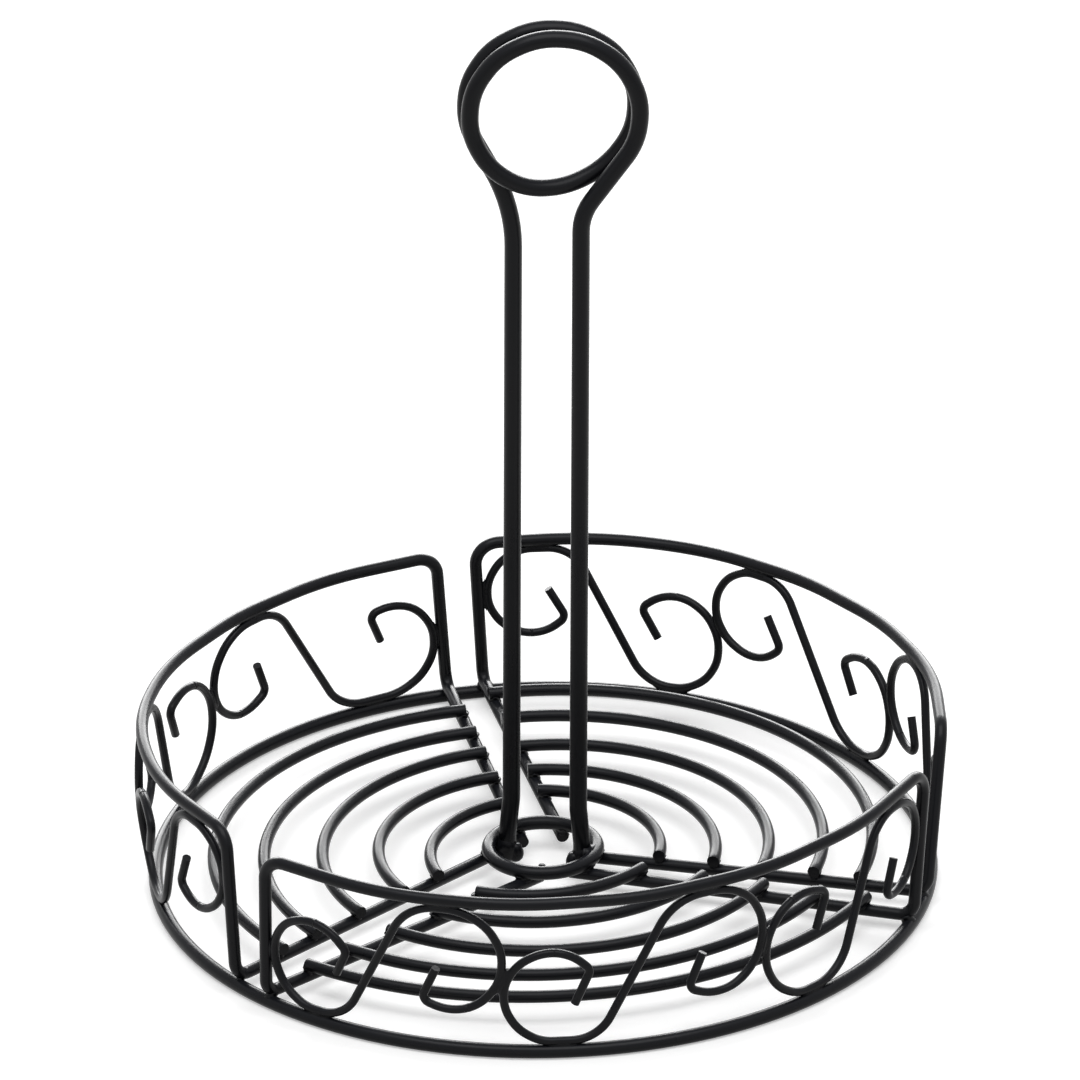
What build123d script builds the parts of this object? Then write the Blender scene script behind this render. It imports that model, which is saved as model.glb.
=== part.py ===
"""Round condiment caddy, welded up from bent steel wire.

The caddy stands on its base ring. Three panel frames stand on that ring, one for each sector of
the circle. Each frame is a single wire: a floor spoke, a post, the rim, a post and a spoke again.
Floor arcs lie across the spokes, S-shaped scrolls fill the panels, and a small hub ring ties the
spokes together and holds the feet of the handle. Millimetres, +Z up. The origin is the middle of
the base ring on the surface that it stands on, and the front sector faces -Y.
"""

import os
from math import asin, atan2, cos, degrees, pi, radians, sin, sqrt, tan

from build123d import *

# ---- wires -------------------------------------------------------------------------------------
ring_wire = 3.6          # diameter of the base ring's and hub ring's wire
frame_wire = 3.2         # frames and floor arcs
scroll_wire = 2.2        # ornament scrolls
handle_wire = 4.5        # handle
weld = 0.15              # how deep one wire bites into another where they are welded
round_share = 0.9        # bend radius of the many small bends that round a curl or the loop,
                         # as a share of the curl's or the loop's own radius

# ---- rings -------------------------------------------------------------------------------------
base_ring_radius = 98.5  # to the middle of the wire, like every radius here
hub_ring_radius = 13.8
hub_ring_forward = 0.8   # the hub ring sits this much towards the front

# ---- panel frames ------------------------------------------------------------------------------
rim_height = 43.6        # to the middle of the rim wire
post_radius = 99.4       # where a post meets the base ring
post_bend = 4.0          # bend from spoke to post
rim_bend = 6.0           # bend from post to rim
rim_share = 0.75         # radius of each bend along the rim, as a share of the rim's own radius

# ---- scrolls -----------------------------------------------------------------------------------
curl_step = 30.0         # about this much turn to each bend of a curl
hook_room = 18.0         # turn of a curl that its hook's bend takes up
hook_reach = 0.95        # the hook's corner from the curl's middle, as a share of the curl's radius
hook_bend = 2.2

# The panels are bent by hand, so the three differ. Angles are seen from the middle of the floor,
# and radii are measured from it, except those of the curls.
#   posts        angle of the first and last post on the base ring
#   rim_ends     angle of the corners where the posts turn into the rim
#   rim          radius of the rim at even steps from one of these corners to the other
#   beside       how far the line of each spoke passes beside the middle of the floor
#   spoke_ends   distance of each spoke's inner end from the middle of the floor
#   floor_arcs   radius of each floor arc at the first spoke, halfway and at the last spoke
#   overhangs    how far the floor arcs reach past the middle of the first and last spoke
#   bulge        how far the middle of the panel stands out between the base ring and the rim
#   curls        radius of the lower and upper curl of each scroll
#   hooks        angle below the horizontal at which each of these curls ends in its hook
#   hook_lengths of these hooks, and hook_slope, the slant of their straight ends
#   shoulders    from the middle of each of these curls to the corner of the slanted run
#   meetings     angle at which one scroll meets the next
SECTORS = {
    "right": {
        "posts": (-12.4, 98.6),
        "rim_ends": (-4.0, 99.5),
        "rim": (101.5, 101.5, 100.5, 100.6, 102.1, 102.4, 100.5),
        "beside": (3.0, 7.5),
        "spoke_ends": (10.8, 12.4),
        "floor_arcs": (
            (82.2, 87.0, 86.1), (70.3, 73.0, 71.9), (57.0, 57.8, 55.9), (44.2, 43.0, 42.7),
            (30.1, 29.9, 31.4),
        ),
        "overhangs": (1.6, 1.6),
        "bulge": 0.0,
        "curls": ((13.0, 12.3), (13.2, 11.5), (12.6, 11.8)),
        "hooks": ((134.0, 114.0), (132.0, 140.0), (136.0, 137.0)),
        "hook_lengths": ((9.2, 9.2), (9.2, 9.2), (9.2, 9.2)),
        "hook_slope": 60.0,
        "shoulders": ((7.6, 7.0), (7.8, 8.5), (7.2, 9.8)),
        "meetings": (26.4, 62.9),
    },
    "left": {
        "posts": (104.2, 218.7),
        "rim_ends": (106.0, 216.2),
        "rim": (96.2, 95.8, 96.5, 99.7, 101.4, 100.2, 98.4),
        "beside": (3.2, 10.4),
        "spoke_ends": (9.8, 11.4),
        "floor_arcs": (
            (78.3, 82.5, 84.7), (65.9, 69.4, 73.1), (54.4, 55.3, 57.8), (40.4, 41.4, 42.7),
            (26.2, 27.3, 31.1),
        ),
        "overhangs": (0.4, 2.3),
        "bulge": 2.2,
        "curls": ((13.5, 13.2), (14.2, 12.9), (13.4, 11.6)),
        "hooks": ((112.0, 126.0), (121.0, 131.0), (130.0, 131.0)),
        "hook_lengths": ((9.0, 9.6), (9.0, 9.0), (9.0, 9.0)),
        "hook_slope": 68.0,
        "shoulders": ((13.0, 10.0), (10.0, 10.0), (10.0, 10.0)),
        "meetings": (148.1, 181.2),
    },
    "front": {
        "posts": (225.3, 339.9),
        "rim_ends": (226.1, 343.3),
        "rim": (100.3, 99.5, 98.9, 98.0, 97.8, 97.7, 100.8),
        "beside": (7.0, 5.5),
        "spoke_ends": (10.0, 10.4),
        "floor_arcs": (
            (85.5, 79.9, 86.7), (72.8, 68.5, 74.9), (58.3, 55.8, 59.8), (43.2, 40.3, 44.0),
            (29.2, 25.5, 28.3),
        ),
        "overhangs": (0.3, 1.4),
        "bulge": 0.0,
        "curls": ((12.6, 14.4), (12.5, 14.3), (13.9, 12.6)),
        "hooks": ((145.0, 118.0), (142.0, 122.0), (121.0, 110.0)),
        "hook_lengths": ((7.6, 10.2), (10.2, 10.2), (10.2, 10.2)),
        "hook_slope": 66.0,
        "shoulders": ((8.5, 9.5), (11.0, 10.6), (11.0, 8.0)),
        "meetings": (263.9, 304.1),
    },
}

# ---- handle ------------------------------------------------------------------------------------
leg_spacing = 16.9
foot_spacing = 18.9      # the feet are splayed to meet the hub ring
splay_bottom = 10.0      # heights between which the legs run out to the feet
splay_top = 20.0
splay_bend = 9.0
loop_radius = 21.2
loop_height = 215.0
loop_offset = 1.3        # the loop sits a little to the right of the legs
foot_offset = 0.4        # the feet stand a little to the right of the middle
turn_gap = 1.6           # free space between the two turns, which can hold a card
turn_shift = 0.5         # the front turn sits this much right of the middle, the back turn left
loop_steps = 20
loop_start = -35.0       # where the right leg runs into the front turn
loop_end = 568.0         # where the back turn runs out into the left leg
cross_from = 240.0       # the wire crosses from front to back between these angles
cross_to = 300.0
right_leg_bend = 15.0
left_leg_bend = 45.0
handle_lean = 0.92       # degrees to the right

# ---- heights that follow from the wires --------------------------------------------------------
ring_height = ring_wire / 2
# The bend of each frame rests against the base ring, which sets the height of the spokes.
bend_reach = post_bend + (ring_wire + frame_wire) / 2 - weld
bend_inset = base_ring_radius - (post_radius - post_bend)
spoke_height = ring_height + sqrt(bend_reach**2 - bend_inset**2) - post_bend
floor_arc_height = spoke_height + frame_wire - weld
hub_ring_height = spoke_height + (frame_wire + ring_wire) / 2 - weld
foot_height = spoke_height + frame_wire / 2 - weld
panel_bottom = ring_height + (ring_wire + scroll_wire) / 2 - weld
panel_top = rim_height - (frame_wire + scroll_wire) / 2 + weld

os.makedirs("parts", exist_ok=True)
pieces = []


def polar(radius, angle, height=0.0):
    """The point at this radius, angle and height."""
    return Vector(radius * cos(radians(angle)), radius * sin(radians(angle)), height)


def keep(part, name):
    """Label a finished piece and write its file."""
    part.label = name
    export_step(part, f"parts/{name}.step")
    pieces.append(part)


# ---- base ring and hub ring --------------------------------------------------------------------
with BuildPart() as base_ring:
    with BuildSketch(Plane.XZ):
        with Locations((base_ring_radius, ring_height)):
            Circle(ring_wire / 2)
    revolve(axis=Axis.Z)
keep(base_ring.part, "base_ring")

hub_ring_plane = Plane.XZ.offset(hub_ring_forward)
with BuildPart() as hub_ring:
    with BuildSketch(hub_ring_plane):
        with Locations((hub_ring_radius, hub_ring_height)):
            Circle(ring_wire / 2)
    revolve(axis=Axis(hub_ring_plane.origin, (0, 0, 1)))
keep(hub_ring.part, "hub_ring")


# ---- panel frames ------------------------------------------------------------------------------
def spoke_line(sector, side):
    """Start and direction of a sector's spoke: side 0 is at its first post, side 1 at its last."""
    beside = sector["beside"][side]
    inward = 1 if side == 0 else -1
    turn = degrees(asin(beside / post_radius))
    direction = polar(1, sector["posts"][side] - inward * turn)
    across = Vector(-direction.Y, direction.X) * inward
    return across * beside, direction


def post_point(sector, side, height):
    """The point of a post's wire at this height, between its foot and its corner at the rim."""
    foot = polar(post_radius, sector["posts"][side], spoke_height)
    corner = polar(sector["rim"][-side], sector["rim_ends"][side], rim_height)
    return foot + (corner - foot) * ((height - spoke_height) / (rim_height - spoke_height))


def frame_end(sector, side):
    """Corner points of a frame from the middle of the floor up to the rim."""
    foot, direction = spoke_line(sector, side)
    along = sqrt(sector["spoke_ends"][side] ** 2 - sector["beside"][side] ** 2)
    spoke_end = foot + direction * along + Vector(0, 0, spoke_height)
    return [spoke_end, post_point(sector, side, spoke_height), post_point(sector, side, rim_height)]


for sector_name, sector in SECTORS.items():
    rim_from, rim_to = sector["rim_ends"]
    rim_step = (rim_to - rim_from) / (len(sector["rim"]) - 1)
    # The corners lie outside the rim, so that the bends between them touch it.
    rim_corners = []
    rim_bends = []
    for number, radius in enumerate(sector["rim"][1:-1], start=1):
        corner_radius = radius / cos(radians(rim_step / 2))
        rim_corners.append(polar(corner_radius, rim_from + number * rim_step, rim_height))
        rim_bends.append(rim_share * radius)
    corners = frame_end(sector, 0) + rim_corners + frame_end(sector, 1)[::-1]
    with BuildPart() as frame:
        with BuildLine() as frame_path:
            FilletPolyline(*corners, radius=(post_bend, rim_bend, *rim_bends, rim_bend, post_bend))
        with BuildSketch(Plane(origin=corners[0], z_dir=corners[1] - corners[0])):
            Circle(frame_wire / 2)
        sweep(path=frame_path.wire())
    keep(frame.part, f"{sector_name}_frame")


# ---- floor arcs --------------------------------------------------------------------------------
def floor_arc_end(sector, side, radius):
    """Where a floor arc ends, just past the point of its spoke at this radius."""
    outward = -1 if side == 0 else 1
    foot, direction = spoke_line(sector, side)
    crossing = foot + direction * sqrt(radius**2 - sector["beside"][side] ** 2)
    across = Vector(-direction.Y, direction.X) * outward
    return crossing + across * sector["overhangs"][side] + Vector(0, 0, floor_arc_height)


for sector_name, sector in SECTORS.items():
    halfway = sum(sector["posts"]) / 2
    for number, (first_radius, middle_radius, last_radius) in enumerate(sector["floor_arcs"], start=1):
        first_end = floor_arc_end(sector, 0, first_radius)
        middle = polar(middle_radius, halfway, floor_arc_height)
        last_end = floor_arc_end(sector, 1, last_radius)
        with BuildPart() as floor_arc:
            with BuildLine() as arc_path:
                ThreePointArc(first_end, middle, last_end)
            with BuildSketch(Plane(origin=first_end, z_dir=arc_path.wire() % 0)):
                Circle(frame_wire / 2)
            sweep(path=arc_path.wire())
        keep(floor_arc.part, f"{sector_name}_floor_arc_{number}")


# ---- scrolls -----------------------------------------------------------------------------------
next_post = (scroll_wire + frame_wire) / 2 - weld


def rim_radius(sector, angle):
    """Radius of a sector's rim at this angle, between the radii that the table gives."""
    rim_from, rim_to = sector["rim_ends"]
    steps = len(sector["rim"]) - 1
    place = min(max((angle - rim_from) / (rim_to - rim_from), 0), 1) * steps
    number = min(int(place), steps - 1)
    before, after = sector["rim"][number:number + 2]
    return before + (after - before) * (place - number)


def on_panel(sector, angle, height):
    """The point of a panel's surface at this angle, between the base ring and the rim."""
    share = (height - ring_height) / (rim_height - ring_height)
    radius = base_ring_radius + (rim_radius(sector, angle) - base_ring_radius) * share
    first_post, last_post = sector["posts"]
    place = (angle - first_post) / (last_post - first_post)
    radius += sector["bulge"] * sin(pi * place**2) * sin(pi * share)
    return polar(radius, angle, height)


def curl_outline(sector, number, side):
    """Corner points of an upper curl about its middle, from its shoulder to the hook's tip.

    Side 0 takes the measures of the scroll's lower curl, which has the same form turned about.
    """
    radius = sector["curls"][number][side]
    hook_angle = sector["hooks"][number][side]
    hook = polar(sector["hook_lengths"][number][side], sector["hook_slope"])
    curl_turn = 90 + hook_angle - hook_room
    steps = round(curl_turn / curl_step)
    step = curl_turn / steps
    points = [Vector(-sector["shoulders"][number][side], radius)]
    for bend in range(steps):
        points.append(polar(radius / cos(radians(step / 2)), 90 - step * (bend + 0.5)))
    hook_corner = polar(hook_reach * radius, -hook_angle)
    points += [hook_corner, hook_corner + hook]
    return points, [round_share * radius] * (steps + 1) + [hook_bend]


def scroll_outline(sector, number, width):
    """Corner points of a scroll on the flat panel from its lower left, and its bend radii."""
    lower_radius, upper_radius = sector["curls"][number]
    lower_middle = Vector(lower_radius, panel_bottom + lower_radius)
    upper_middle = Vector(width - upper_radius, panel_top - upper_radius)
    lower, lower_bends = curl_outline(sector, number, 0)
    upper, upper_bends = curl_outline(sector, number, 1)
    points = [lower_middle - point for point in reversed(lower)]
    points += [upper_middle + point for point in upper]
    return points, lower_bends[::-1] + upper_bends


def post_distance(sector, side, height):
    """How far along the panel, from the foot of its first post, this post is at this height."""
    post = post_point(sector, side, height)
    turn = degrees(atan2(post.Y, post.X)) - sector["posts"][0]
    return radians(turn % 360) * base_ring_radius


def curl_side(sector, side, height, radius):
    """Distance along the panel of the outer side of a curl at this height that touches this post."""
    inward = 1 if side == 0 else -1
    post = post_distance(sector, side, height)
    lean = atan2(post_distance(sector, side, panel_top) - post, panel_top - height)
    middle = post + inward * (radius + next_post) / cos(lean)
    return middle - inward * radius


for sector_name, sector in SECTORS.items():
    first_post = sector["posts"][0]
    first_radius = sector["curls"][0][0]
    last_radius = sector["curls"][-1][1]
    starts = [curl_side(sector, 0, panel_bottom + first_radius, first_radius)]
    ends = []
    for number, angle in enumerate(sector["meetings"]):
        upper_radius = sector["curls"][number][1]
        lower_radius = sector["curls"][number + 1][0]
        # Curls of different height touch on a slant, so their sides may overlap a little.
        touching = upper_radius + lower_radius + scroll_wire - weld
        rise = panel_top - upper_radius - panel_bottom - lower_radius
        gap = sqrt(touching**2 - rise**2) - upper_radius - lower_radius
        meeting = radians(angle - first_post) * base_ring_radius
        ends.append(meeting - gap / 2)
        starts.append(meeting + gap / 2)
    ends.append(curl_side(sector, 1, panel_top - last_radius, last_radius))
    for number, (start, end) in enumerate(zip(starts, ends)):
        outline, bend_radii = scroll_outline(sector, number, end - start)
        path_points = []
        for point in outline:
            angle = first_post + degrees((start + point.X) / base_ring_radius)
            path_points.append(on_panel(sector, angle, point.Y))
        with BuildPart() as scroll:
            with BuildLine() as scroll_path:
                FilletPolyline(*path_points, radius=bend_radii)
            with BuildSketch(Plane(origin=path_points[0], z_dir=path_points[1] - path_points[0])):
                Circle(scroll_wire / 2)
            sweep(path=scroll_path.wire())
        keep(scroll.part, f"{sector_name}_scroll_{number + 1}")


# ---- handle ------------------------------------------------------------------------------------
turn_depth = (handle_wire + turn_gap) / 2


def loop_share(angle):
    """How far the wire has crossed from the front turn (0) to the back turn (1)."""
    return min(max((angle - cross_from) / (cross_to - cross_from), 0.0), 1.0)


def loop_point(angle, radius):
    """A point beside the two-turn loop, in the upright handle."""
    share = loop_share(angle)
    centre_x = loop_offset + turn_shift * (1 - 2 * share)
    depth = turn_depth * (2 * share - 1)
    flat = polar(radius, angle)
    return Vector(centre_x + flat.X, depth, loop_height + flat.Y)


def leg_corner(angle, leg_x):
    """Where the loop's tangent at this angle meets the line of a leg."""
    point = loop_point(angle, loop_radius)
    return Vector(leg_x, point.Y, point.Z + (leg_x - point.X) * tan(radians(angle + 90)))


def leaning(point):
    """Lean an upright point of the handle to the right."""
    aside = foot_offset + (point.Z - foot_height) * tan(radians(handle_lean))
    return point + Vector(aside, 0, 0)


loop_step = (loop_end - loop_start) / loop_steps
loop_corner_radius = loop_radius / cos(radians(loop_step / 2))
right_leg = [
    Vector(foot_spacing / 2, -turn_depth, foot_height),
    Vector(foot_spacing / 2, -turn_depth, splay_bottom),
    Vector(leg_spacing / 2, -turn_depth, splay_top),
    leg_corner(loop_start, leg_spacing / 2),
]
left_leg = [
    leg_corner(loop_end, -leg_spacing / 2),
    Vector(-leg_spacing / 2, turn_depth, splay_top),
    Vector(-foot_spacing / 2, turn_depth, splay_bottom),
    Vector(-foot_spacing / 2, turn_depth, foot_height),
]
loop = []
for number in range(loop_steps):
    loop.append(loop_point(loop_start + loop_step * (number + 0.5), loop_corner_radius))
handle_points = [leaning(point) for point in right_leg + loop + left_leg]
handle_radii = [splay_bend, splay_bend, right_leg_bend]
handle_radii += [round_share * loop_radius] * loop_steps
handle_radii += [left_leg_bend, splay_bend, splay_bend]
with BuildPart() as handle:
    with BuildLine() as handle_path:
        FilletPolyline(*handle_points, radius=handle_radii)
    with BuildSketch(Plane(origin=handle_points[0], z_dir=handle_points[1] - handle_points[0])):
        Circle(handle_wire / 2)
    sweep(path=handle_path.wire())
keep(handle.part, "handle")

caddy = Compound(label="condiment_caddy", children=pieces)
size = caddy.bounding_box().size
print(f"{len(pieces)} pieces, {size.X:.1f} x {size.Y:.1f} x {size.Z:.1f} mm")
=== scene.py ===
# %% [markdown]
# # A round wire condiment caddy
#
# The caddy is bent and welded steel wire under a black powder coat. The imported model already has
# every wire at its real size and place, so this lesson keeps those wires and adds what the shop
# adds: the welds where two wires meet, the softened ends of the cut wires, and the coat itself.
# Everything is in metres, with +Z up and the front panel facing -Y.

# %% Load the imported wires
import math
from collections import defaultdict

import bmesh
import bpy
import numpy as np
from mathutils import Matrix, Vector, noise
from mathutils.bvhtree import BVHTree
from mathutils.geometry import intersect_ray_tri


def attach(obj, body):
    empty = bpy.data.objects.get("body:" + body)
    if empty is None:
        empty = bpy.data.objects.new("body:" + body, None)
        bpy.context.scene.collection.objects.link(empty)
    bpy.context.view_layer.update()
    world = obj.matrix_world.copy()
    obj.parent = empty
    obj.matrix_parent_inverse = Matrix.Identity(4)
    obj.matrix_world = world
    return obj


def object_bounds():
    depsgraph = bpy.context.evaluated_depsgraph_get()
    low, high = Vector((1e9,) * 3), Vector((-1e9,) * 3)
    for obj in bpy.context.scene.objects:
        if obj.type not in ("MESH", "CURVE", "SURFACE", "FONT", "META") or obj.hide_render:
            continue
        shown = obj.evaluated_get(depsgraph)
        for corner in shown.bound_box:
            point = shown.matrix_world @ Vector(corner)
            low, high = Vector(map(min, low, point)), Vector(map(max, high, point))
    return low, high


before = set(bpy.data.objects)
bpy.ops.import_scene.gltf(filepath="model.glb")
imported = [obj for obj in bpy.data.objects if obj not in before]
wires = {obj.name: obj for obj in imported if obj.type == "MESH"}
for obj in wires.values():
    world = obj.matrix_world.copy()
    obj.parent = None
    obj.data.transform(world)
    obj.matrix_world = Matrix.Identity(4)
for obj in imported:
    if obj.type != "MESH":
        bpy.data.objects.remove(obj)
cad_low, cad_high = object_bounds()
MM = 0.001
print(f"{len(wires)} wires, {(cad_high[2] - cad_low[2]) / MM:.1f} mm tall")

# %% [markdown]
# ## The camera
#
# The caddy was photographed from far away with a long lens, so near and far wires keep almost the
# same size. A camera five metres off, with its lens worked out from the width that the picture
# covers, gives the same flat look. The picture leans a little, so the camera is rolled.

# %% Camera
TARGET = Vector((0.35, 0.0, 94.9)) * MM
CAMERA_DISTANCE = 5.0
CAMERA_ELEVATION = math.radians(27.0)
CAMERA_ROLL = math.radians(-0.8)
PICTURE_WIDTH = 272.2 * MM
SENSOR_WIDTH = 36.0        # millimetres, as Blender gives it
FARTHEST_SEEN = 50.0


def make_camera():
    """A long lens that looks along +Y and down at the caddy."""
    data = bpy.data.cameras.new("long_lens")
    data.sensor_width = SENSOR_WIDTH
    data.lens = SENSOR_WIDTH * CAMERA_DISTANCE / PICTURE_WIDTH
    data.clip_end = FARTHEST_SEEN
    camera = bpy.data.objects.new("camera", data)
    bpy.context.scene.collection.objects.link(camera)
    back = Vector((0.0, -math.cos(CAMERA_ELEVATION), math.sin(CAMERA_ELEVATION)))
    turn = (-back).to_track_quat("-Z", "Y").to_matrix() @ Matrix.Rotation(CAMERA_ROLL, 3, "Z")
    camera.matrix_world = Matrix.Translation(TARGET + back * CAMERA_DISTANCE) @ turn.to_4x4()
    return camera


bpy.context.scene.camera = make_camera()
bpy.context.scene.view_settings.view_transform = "Standard"
print(f"lens {bpy.context.scene.camera.data.lens:.0f} mm")

# %% [markdown]
# ## Helpers for materials
#
# A procedural material is a small graph of nodes. These helpers add a node and set its sockets in
# one line each, so that the graph of each finish stays short enough to read.


# %% Material helpers
def add_node(tree, kind, inputs=None, **settings):
    """A node of this kind with its settings and sockets set. A socket's value may be a link."""
    node = tree.nodes.new(kind)
    for name, value in settings.items():
        setattr(node, name, value)
    for name, value in (inputs or {}).items():
        socket = node.inputs[name]
        if isinstance(value, bpy.types.NodeSocket):
            tree.links.new(value, socket)
        else:
            socket.default_value = value
    return node


def empty_material(name):
    """A material with an empty node tree."""
    material = bpy.data.materials.new(name)
    material.use_nodes = True
    material.node_tree.nodes.clear()
    return material, material.node_tree


def seen_directly(tree):
    """One where the camera looks, or a reflection or a refraction, and zero for all other rays."""
    path = add_node(tree, "ShaderNodeLightPath")
    seen = path.outputs["Is Camera Ray"]
    for other in ("Is Glossy Ray", "Is Transmission Ray"):
        either = {0: seen, 1: path.outputs[other]}
        seen = add_node(tree, "ShaderNodeMath", either, operation="MAXIMUM").outputs[0]
    return seen


# %% [markdown]
# ## The studio
#
# The picture has a white ground and a soft, even light. A real white sheet that is lit only as
# brightly as the caddy would look grey, so where the camera or a reflection sees the floor a glow
# is added on top of its lit colour. The glow adds no light to the caddy, and the soft shadow under
# the wires stays.

# %% Floor
FLOOR_HALF_WIDTH = 4.0
FLOOR_COLOUR = (0.75, 0.75, 0.75, 1.0)
FLOOR_GLOW = 0.40


def floor_material():
    """A matt white sheet with its added glow."""
    material, tree = empty_material("white_floor")
    lit = add_node(tree, "ShaderNodeBsdfDiffuse", {"Color": FLOOR_COLOUR})
    share = {0: seen_directly(tree), 1: FLOOR_GLOW}
    strength = add_node(tree, "ShaderNodeMath", share, operation="MULTIPLY")
    glow = add_node(tree, "ShaderNodeEmission", {"Strength": strength.outputs[0]})
    both = add_node(tree, "ShaderNodeAddShader", {0: lit.outputs[0], 1: glow.outputs[0]})
    add_node(tree, "ShaderNodeOutputMaterial", {"Surface": both.outputs[0]})
    return material


def link_piece(name, bm, material):
    """Turn a finished bmesh into an object that keeps its place in its mesh."""
    mesh = bpy.data.meshes.new(name)
    bm.to_mesh(mesh)
    bm.free()
    mesh.materials.append(material)
    piece = bpy.data.objects.new(name, mesh)
    bpy.context.scene.collection.objects.link(piece)
    return piece


floor_mesh = bmesh.new()
bmesh.ops.create_grid(floor_mesh, x_segments=1, y_segments=1, size=FLOOR_HALF_WIDTH)
floor = link_piece("floor", floor_mesh, floor_material())
print(f"floor {2 * FLOOR_HALF_WIDTH:.0f} m across")

# %% [markdown]
# A thin glossy wire shows a lamp as a line: broad where the wire runs towards the camera, thin
# where it runs across. In the picture each wire has a soft pale line a third of the way down and
# goes nearly black below, so one wide panel hangs over the front. The wires at the left and right
# rims, which run towards the camera, are the brightest. That takes a wall of light behind the
# caddy, low and far enough back to stay out of the picture.


# %% Lights
def soft_panel(name, place, width, height, power):
    """A rectangular lamp that faces the caddy."""
    data = bpy.data.lights.new(name, "AREA")
    data.shape = "RECTANGLE"
    data.size = width
    data.size_y = height
    data.energy = power
    lamp = bpy.data.objects.new(name, data)
    place = Vector(place)
    facing = (TARGET - place).to_track_quat("-Z", "Y").to_matrix().to_4x4()
    lamp.matrix_world = Matrix.Translation(place) @ facing
    bpy.context.scene.collection.objects.link(lamp)
    print(f"{name}: {width} x {height} m, {power:.0f} W")


soft_panel("panel_behind", (0.0, 2.6, 0.9), 2.6, 1.3, 125.0)
soft_panel("panel_above", (0.0, -0.5, 1.5), 1.6, 1.1, 19.0)

# %% Room
ROOM_LIGHT = 0.24
WHITE = (1.0, 1.0, 1.0, 1.0)


def make_world():
    """Soft light from all round, and plain white where the room itself is seen."""
    world = bpy.data.worlds.new("room")
    world.use_nodes = True
    tree = world.node_tree
    tree.nodes.clear()
    dim = add_node(tree, "ShaderNodeBackground", {"Color": WHITE, "Strength": ROOM_LIGHT})
    bright = add_node(tree, "ShaderNodeBackground", {"Color": WHITE, "Strength": 1.0})
    either = {0: seen_directly(tree), 1: dim.outputs[0], 2: bright.outputs[0]}
    mix = add_node(tree, "ShaderNodeMixShader", either)
    add_node(tree, "ShaderNodeOutputWorld", {"Surface": mix.outputs[0]})
    bpy.context.scene.world = world


make_world()
print(f"room light {ROOM_LIGHT}")

# %% [markdown]
# ## The powder coat
#
# Powder coat is sprayed on as dust and melted in an oven. It dries to a tough, even, near-black
# skin with a soft gloss and a very fine orange-peel ripple. The ripple is a noise of about a
# millimetre, and a slower noise makes the gloss and the black vary a little along the wire. Where
# the surface faces up the colour is painted paler, a painted top light standing in for light from
# above.

# %% Powder coat
COAT_BLACK = (0.0022, 0.0023, 0.0030, 1.0)
COAT_WORN = (0.0046, 0.0048, 0.0060, 1.0)
# The next colour is painted top light: a paler colour for up-facing surfaces, standing in for light
# from above.
COAT_PAINTED_TOP_LIGHT = (0.0105, 0.0112, 0.0140, 1.0)
COAT_GLOSS = (0.24, 0.34)      # range of its roughness
COAT_SPECULAR = 0.12
SLOW_NOISE = {"Scale": 45.0, "Detail": 4.0, "Roughness": 0.6}
SLOW_RANGE = (0.3, 0.7)        # the slow noise lies mostly between these
PEEL_NOISE = {"Scale": 900.0, "Detail": 3.0, "Roughness": 0.55}
PEEL_BUMP = {"Strength": 0.12, "Distance": 0.06 * MM}
GRIT_NOISE = {"Scale": 3200.0, "Detail": 2.0}
GRIT_BUMP = {"Strength": 0.05, "Distance": 0.02 * MM}
PAINTED_TOP_LIGHT_FROM = 0.1                # upward part of the surface's direction where the painted top light begins


def noise_value(tree, place, settings):
    """The value of a noise at this place."""
    return add_node(tree, "ShaderNodeTexNoise", {"Vector": place, **settings}).outputs["Fac"]


def blend(tree, share, first, second):
    """One colour passing into another."""
    colours = {"Factor": share, "A": first, "B": second}
    return add_node(tree, "ShaderNodeMix", colours, data_type="RGBA").outputs["Result"]


def powder_coat(name):
    """Black powder coat with its ripple, its uneven gloss and a painted top light where it faces up.
    """
    material, tree = empty_material(name)
    coordinates = add_node(tree, "ShaderNodeTexCoord")
    place = coordinates.outputs["Object"]
    facing = add_node(tree, "ShaderNodeSeparateXYZ", {0: coordinates.outputs["Normal"]})
    slow = noise_value(tree, place, SLOW_NOISE)
    fine = noise_value(tree, place, PEEL_NOISE)
    grit = noise_value(tree, place, GRIT_NOISE)
    # Painted top light: the share of the paler colour grows as the surface faces up.
    painted_top_light_share = add_node(
        tree, "ShaderNodeMapRange", {"Value": facing.outputs["Z"], "From Min": PAINTED_TOP_LIGHT_FROM},
    )
    black = blend(tree, slow, COAT_BLACK, COAT_WORN)
    # Mix the painted top light into the black on up-facing surfaces.
    colour = blend(tree, painted_top_light_share.outputs["Result"], black, COAT_PAINTED_TOP_LIGHT)
    roughness = add_node(
        tree, "ShaderNodeMapRange",
        {"Value": slow, "From Min": SLOW_RANGE[0], "From Max": SLOW_RANGE[1],
         "To Min": COAT_GLOSS[0], "To Max": COAT_GLOSS[1]},
    )
    peel = add_node(tree, "ShaderNodeBump", {"Height": fine, **PEEL_BUMP})
    skin = add_node(
        tree, "ShaderNodeBump", {"Height": grit, "Normal": peel.outputs["Normal"], **GRIT_BUMP},
    )
    coat = add_node(
        tree, "ShaderNodeBsdfPrincipled",
        {"Base Color": colour, "Roughness": roughness.outputs["Result"],
         "Normal": skin.outputs["Normal"], "Specular IOR Level": COAT_SPECULAR},
    )
    add_node(tree, "ShaderNodeOutputMaterial", {"Surface": coat.outputs[0]})
    return material


wire_coat = powder_coat("wire_powder_coat")
for wire in wires.values():
    wire.data.materials.clear()
    wire.data.materials.append(wire_coat)
print(f"coated {len(wires)} wires")

# %% [markdown]
# ## Where the wires touch
#
# Each weld sits where two wires bite into each other. The places could be typed in by hand, but the
# packed wires already hold them: two wires are welded where their surfaces cut through each other.
# A search tree finds the triangles that cross, and the points where an edge of one passes through
# the other lie around the weld.


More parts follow.
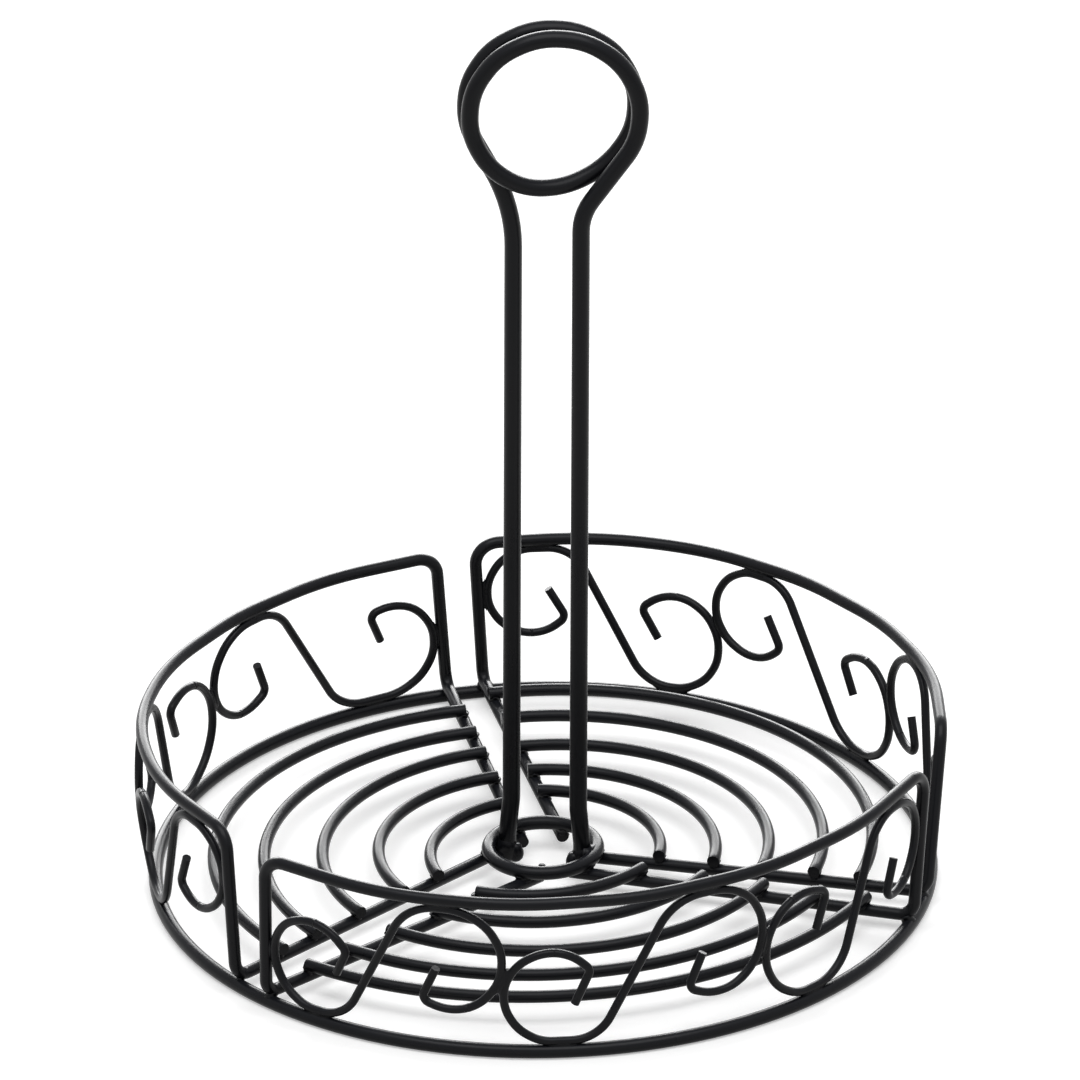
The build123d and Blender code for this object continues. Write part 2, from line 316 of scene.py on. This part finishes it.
# %% Find the places
def crossing_points(triangle, other):
    """Points at which the edges of one triangle pass through another triangle."""
    corners = [loop.vert.co for loop in other.loops]
    points = []
    for edge in triangle.edges:
        start = edge.verts[0].co
        reach = edge.verts[1].co - start
        hit = intersect_ray_tri(*corners, reach, start, True)
        if hit is not None and 0 <= (hit - start).dot(reach) <= reach.length_squared:
            points.append(hit)
    return points


def middle_of(points):
    """The middle of some points."""
    return sum(points, Vector()) / len(points)


def gather(points):
    """Sort points into groups whose middles lie further apart than two welds can."""
    groups = []
    for point in points:
        near = [group for group in groups if (middle_of(group) - point).length < WELD_APART]
        if near:
            near[0].append(point)
        else:
            groups.append([point])
    return groups


# %% Search every pair of wires
WELD_APART = 11.0          # two welds of the same two wires are further apart than this
FEWEST_POINTS = 6          # fewer points than this are a chance touch
surfaces = {}
trees = {}
for name, wire in wires.items():
    # In metres the ray test overlooks such small triangles, so the search is in millimetres.
    surfaces[name] = bmesh.new()
    surfaces[name].from_mesh(wire.data)
    bmesh.ops.scale(surfaces[name], vec=(1 / MM, 1 / MM, 1 / MM), verts=surfaces[name].verts[:])
    surfaces[name].faces.ensure_lookup_table()
    trees[name] = BVHTree.FromBMesh(surfaces[name])

contacts = []
names = sorted(wires)
for first_number, first in enumerate(names):
    for second in names[first_number + 1:]:
        points = []
        for face, other_face in trees[first].overlap(trees[second]):
            triangle = surfaces[first].faces[face]
            other = surfaces[second].faces[other_face]
            points += crossing_points(triangle, other) + crossing_points(other, triangle)
        for group in gather(points):
            if len(group) >= FEWEST_POINTS:
                contacts.append((first, second, group))
print(f"{len(contacts)} welds")

# %% [markdown]
# ## The welds
#
# Such wires are welded by pressing them together with a strong current through them. A little
# steel melts and is squeezed out round the joint, and the coat rounds it off. The bead is wide where
# it lies against each wire and narrow halfway, so it is spun from a waisted outline. The points
# around the joint say how long and how wide it is: round where two wires cross, long where a curl
# runs along another wire. A little noise keeps any two from being the same.

# %% Shape of a bead
# Radius and height along the outline, as shares of the bead's own radius and half height.
BEAD_OUTLINE = (
    (0.0, -1.0), (0.7, -1.0), (1.0, -0.84), (0.88, -0.45), (0.8, 0.0),
    (0.88, 0.45), (1.0, 0.84), (0.7, 1.0), (0.0, 1.0),
)
BEAD_STEPS = 24
SAME_PLACE = 1e-4          # corners closer than this are joined


def spin_outline(outline):
    """A closed solid with this outline of (radius, height) points, turned about Z."""
    bm = bmesh.new()
    verts = [bm.verts.new((radius, 0.0, height)) for radius, height in outline]
    edges = [bm.edges.new(pair) for pair in zip(verts, verts[1:])]
    bmesh.ops.spin(
        bm, geom=verts + edges, cent=(0, 0, 0), axis=(0, 0, 1), dvec=(0, 0, 0),
        angle=math.tau, steps=BEAD_STEPS, use_merge=True, use_duplicate=False,
    )
    bmesh.ops.remove_doubles(bm, verts=bm.verts[:], dist=SAME_PLACE)
    bmesh.ops.recalc_face_normals(bm, faces=bm.faces[:])
    return bm


def roughen(bm, depth, scale):
    """Push the surface in and out a little, differently at every place."""
    for vert in bm.verts:
        vert.co += vert.normal * depth * noise.noise(vert.co * scale)


def add_shape(bm, shape):
    """Add a finished shape to a larger one."""
    mesh = bpy.data.meshes.new("shape")
    shape.to_mesh(mesh)
    shape.free()
    bm.from_mesh(mesh)
    bpy.data.meshes.remove(mesh)


# %% Place of a bead
BEAD_SPREAD = 2.5          # the bead's size, times that of the joint inside it
BEAD_HEIGHT = 0.66         # its half height, as a share of its half width
LONGEST_BEAD = 5.2
WIDEST_BEAD = 2.15
BEAD_ROUGHNESS = {"depth": 0.16, "scale": 0.9}


def weld_bead(points):
    """A bead round a joint, from the points around the joint."""
    cloud = np.array(points)
    middle = cloud.mean(axis=0)
    axes = np.linalg.svd(cloud - middle)[2]
    along, across, normal = (Vector(axis) for axis in axes)
    reach = np.abs((cloud - middle) @ axes.T).max(axis=0)
    half_length = min(BEAD_SPREAD * reach[0], LONGEST_BEAD)
    half_width = min(BEAD_SPREAD * reach[1], WIDEST_BEAD)
    half_height = BEAD_HEIGHT * half_width
    sides = Matrix((along * half_length, across * half_width, normal * half_height))
    turn = sides.transposed().to_4x4()
    bead = spin_outline(BEAD_OUTLINE)
    bmesh.ops.transform(bead, matrix=Matrix.Translation(middle) @ turn, verts=bead.verts[:])
    bmesh.ops.recalc_face_normals(bead, faces=bead.faces[:])
    bead.normal_update()
    roughen(bead, **BEAD_ROUGHNESS)
    return bead


# %% All the beads
def finish_piece(name, bm, material):
    """Bring a finished piece from millimetres to metres and fix it to the caddy."""
    bmesh.ops.scale(bm, vec=(MM, MM, MM), verts=bm.verts[:])
    piece = link_piece(name, bm, material)
    piece.data.shade_smooth()
    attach(piece, "root")
    print(f"{name}: {len(piece.data.polygons)} faces")


def weld_group(first, second):
    """Which of the weld pieces a joint of these two wires belongs to."""
    both = first + " " + second
    if "hub" in both or "handle" in both:
        return "hub_welds"
    if "floor_arc" in both:
        return "floor_welds"
    if "scroll" in both:
        return "scroll_welds"
    return "base_ring_welds"


groups = defaultdict(bmesh.new)
for first, second, points in contacts:
    add_shape(groups[weld_group(first, second)], weld_bead(points))
for name in sorted(groups):
    finish_piece(name, groups[name], wire_coat)

# %% [markdown]
# ## The feet of the handle
#
# The two feet of the handle carry the whole load, so they are welded with a torch: a drop of melted
# steel closes round each foot, hangs a little below it and holds it to the hub ring and the spoke.
# Its outline is a collar on the leg that widens into a rounded drop. Some of the melt ran to the
# side of each foot, and a small bead of it set on the inside of the hub ring.

# %% Foot drops
# Place of each drop in millimetres, and its size as a share of the largest.
DROPS = (
    (10.1, -3.1, 5.8, 1.0), (-9.3, 3.1, 5.8, 1.0),
    (7.7, -3.7, 5.0, 0.66), (-6.9, 2.6, 4.6, 0.66), (-10.4, 1.9, 4.2, 0.6),
    (-0.2, -12.9, 7.6, 0.42),
)
DROP_ROUGHNESS = 0.5       # for the largest drop
DROP_NOISE_SCALE = 0.35
# Radius and height along the outline of the largest drop.
DROP_OUTLINE = (
    (0.0, 3.9), (1.6, 3.9), (2.1, 3.1), (2.5, 2.0), (2.85, 0.8), (2.9, -0.6), (2.6, -1.9),
    (1.9, -2.9), (1.0, -3.5), (0.0, -3.7),
)
drops = bmesh.new()
for x, y, height, share in DROPS:
    drop = spin_outline(DROP_OUTLINE)
    bmesh.ops.scale(drop, vec=(share, share, share), verts=drop.verts[:])
    bmesh.ops.translate(drop, verts=drop.verts[:], vec=(x, y, height))
    drop.normal_update()
    roughen(drop, depth=DROP_ROUGHNESS * share, scale=DROP_NOISE_SCALE)
    add_shape(drops, drop)
finish_piece("foot_welds", drops, wire_coat)

# %% [markdown]
# ## The cut ends
#
# The wires are cut square. The shears leave a small burr that is tumbled off, and the coat draws
# back to a soft edge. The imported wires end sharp. Their own meshes are left alone, and two modifiers
# do it: Weld joins the end disc to the side, and Bevel rounds only edges that are as sharp as that.

# %% Soften the cut ends
END_ROUNDING = 0.3 * MM
END_SEGMENTS = 3
SHARP = math.radians(50)
JOIN_WITHIN = 0.001 * MM


def soften_ends(wire):
    """Round the rim of a wire's two end discs."""
    join = wire.modifiers.new("join_surfaces", "WELD")
    join.merge_threshold = JOIN_WITHIN
    rounding = wire.modifiers.new("round_cut_ends", "BEVEL")
    rounding.width = END_ROUNDING
    rounding.segments = END_SEGMENTS
    rounding.limit_method = "ANGLE"
    rounding.angle_limit = SHARP


closed_rings = ("base_ring", "hub_ring")
for name, wire in wires.items():
    if name not in closed_rings:
        soften_ends(wire)
print(f"softened the ends of {len(wires) - len(closed_rings)} wires")
